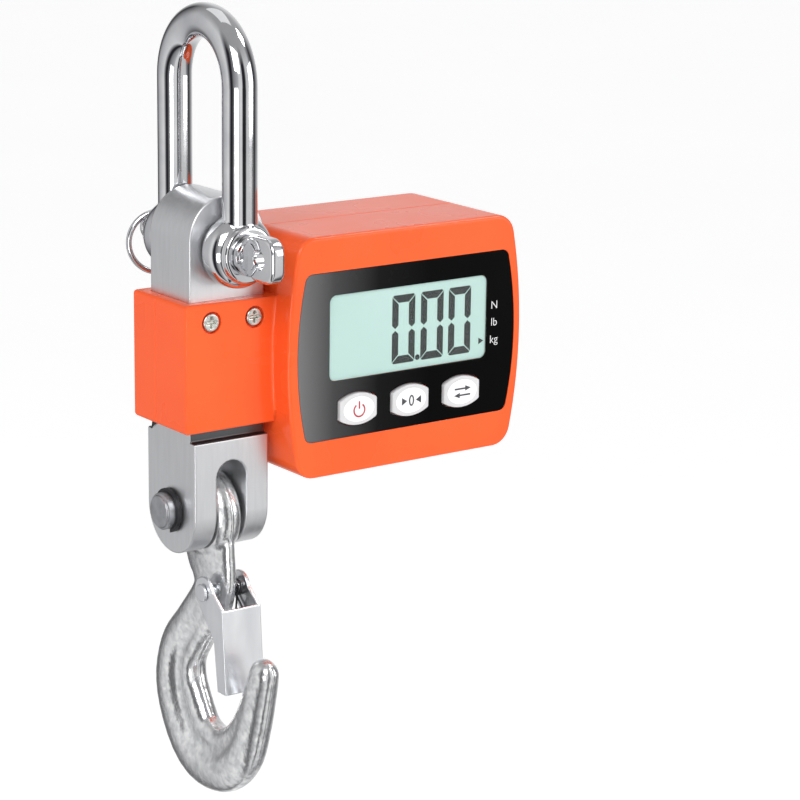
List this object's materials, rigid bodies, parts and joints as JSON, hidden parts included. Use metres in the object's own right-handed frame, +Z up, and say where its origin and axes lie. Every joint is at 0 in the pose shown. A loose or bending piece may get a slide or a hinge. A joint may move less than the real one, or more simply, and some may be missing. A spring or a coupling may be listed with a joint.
{
  "type": "hanging crane scale",
  "caption": "Compact hanging scale: long shackle above a load-cell bar in a two-shell housing with a side display, and a latched safety hook below.",
  "frame": {"origin": "crown inside the shackle's bow, where the scale hangs from", "axes": "+Z up along the load line, -Y out of the display's face, +X from the load line towards the display head"},
  "size_m": [0.1146, 0.0671, 0.2337],
  "materials": {
    "polished_steel": "polished, sharp dark and light reflections",
    "cell_aluminium": "fine satin, bright edges",
    "orange_plastic": "smooth injection-moulded, soft gloss",
    "overlay_black": "glossy printed overlay with a grey fade at the left",
    "clear_window": "clear acrylic",
    "lcd_mint": "pale mint reflective display with dark segments",
    "frame_white": "white moulded holder",
    "zebra_rubber": "striped silicone connector",
    "board_green": "green solder mask",
    "chip_black": "black epoxy",
    "switch_dark": "tact switch body",
    "key_white": "white centre, light grey rim",
    "zinc_screw": "bright zinc plate",
    "gauge_foil": "amber foil backing",
    "cable_jacket": "pale jacket",
    "cell_wrap": "plain wrapped alkaline cells, no print",
    "contact_nickel": "nickel-plated strip and wire",
    "forged_zinc": "mottled zinc plate over a forging",
    "latch_steel": "bright pressed sheet",
    "dark_phosphate": "black phosphated spring steel",
    "pin_steel": "turned steel pin"
  },
  "bodies": {
    "shackle_body": {"shackle": "polished_steel"},
    "pin_body": {"shackle_pin": "polished_steel"},
    "ring_body": {"pin_ring": "polished_steel"},
    "scale_body": {"load_cell": "cell_aluminium", "strain_gauges": "gauge_foil", "gauge_cable": "cable_jacket", "front_shell": "orange_plastic", "rear_shell": "orange_plastic", "collar_screws": "zinc_screw", "shell_screws": "zinc_screw", "overlay_panel": "overlay_black", "lcd_window": "clear_window", "lcd_face": "lcd_mint", "lcd_module": "lcd_mint", "lcd_frame": "frame_white", "zebra_strip": "zebra_rubber", "main_board": "board_green", "board_chips": "chip_black", "tact_switches": "switch_dark", "board_screws": "zinc_screw", "battery_cells": "cell_wrap", "cell_springs": "contact_nickel", "cell_plates": "contact_nickel", "hook_pin": "pin_steel", "circlip_left": "dark_phosphate", "circlip_right": "dark_phosphate"},
    "power_key": {"key_power": "key_white"},
    "tare_key": {"key_tare": "key_white"},
    "unit_key": {"key_unit": "key_white"},
    "cover_body": {"battery_cover": "orange_plastic"},
    "hook_body": {"hook": "forged_zinc", "latch_rivet": "latch_steel", "latch_spring": "dark_phosphate"},
    "latch_body": {"latch": "latch_steel"}
  },
  "joints": [
    {"name": "pin_turn", "type": "hinge", "parent": "shackle_body", "child": "pin_body", "pos_m": [0, 0, -0.0579], "axis": [0, 1, 0], "continuous": true},
    {"name": "ring_swing", "type": "hinge", "parent": "pin_body", "child": "ring_body", "pos_m": [0, 0.03, -0.0579], "axis": [0, 1, 0], "continuous": true},
    {"name": "scale_swing", "type": "hinge", "parent": "shackle_body", "child": "scale_body", "pos_m": [0, 0, -0.0579], "axis": [0, 1, 0], "range_deg": [-50, 90]},
    {"name": "power_press", "type": "slide", "parent": "scale_body", "child": "power_key", "axis": [0, 1, 0], "range_m": [0, 0.0006], "stiffness_N_per_m": 150, "springref_m": -0.001},
    {"name": "tare_press", "type": "slide", "parent": "scale_body", "child": "tare_key", "axis": [0, 1, 0], "range_m": [0, 0.0006], "stiffness_N_per_m": 150, "springref_m": -0.001},
    {"name": "unit_press", "type": "slide", "parent": "scale_body", "child": "unit_key", "axis": [0, 1, 0], "range_m": [0, 0.0006], "stiffness_N_per_m": 150, "springref_m": -0.001},
    {"name": "cover_pull", "type": "slide", "parent": "scale_body", "child": "cover_body", "axis": [0, 1, 0], "range_m": [0, 0.03]},
    {"name": "hook_swing", "type": "hinge", "parent": "scale_body", "child": "hook_body", "pos_m": [0, 0, -0.1352], "axis": [1, 0, 0], "range_deg": [-90, 90]},
    {"name": "latch_swing", "type": "hinge", "parent": "hook_body", "child": "latch_body", "pos_m": [0, -0.0079, -0.1594], "axis": [1, 0, 0], "range_deg": [0, 36], "stiffness_Nm_per_rad": 0.02, "springref_deg": -28.65, "deforming": ["latch_spring"]}
  ]
}
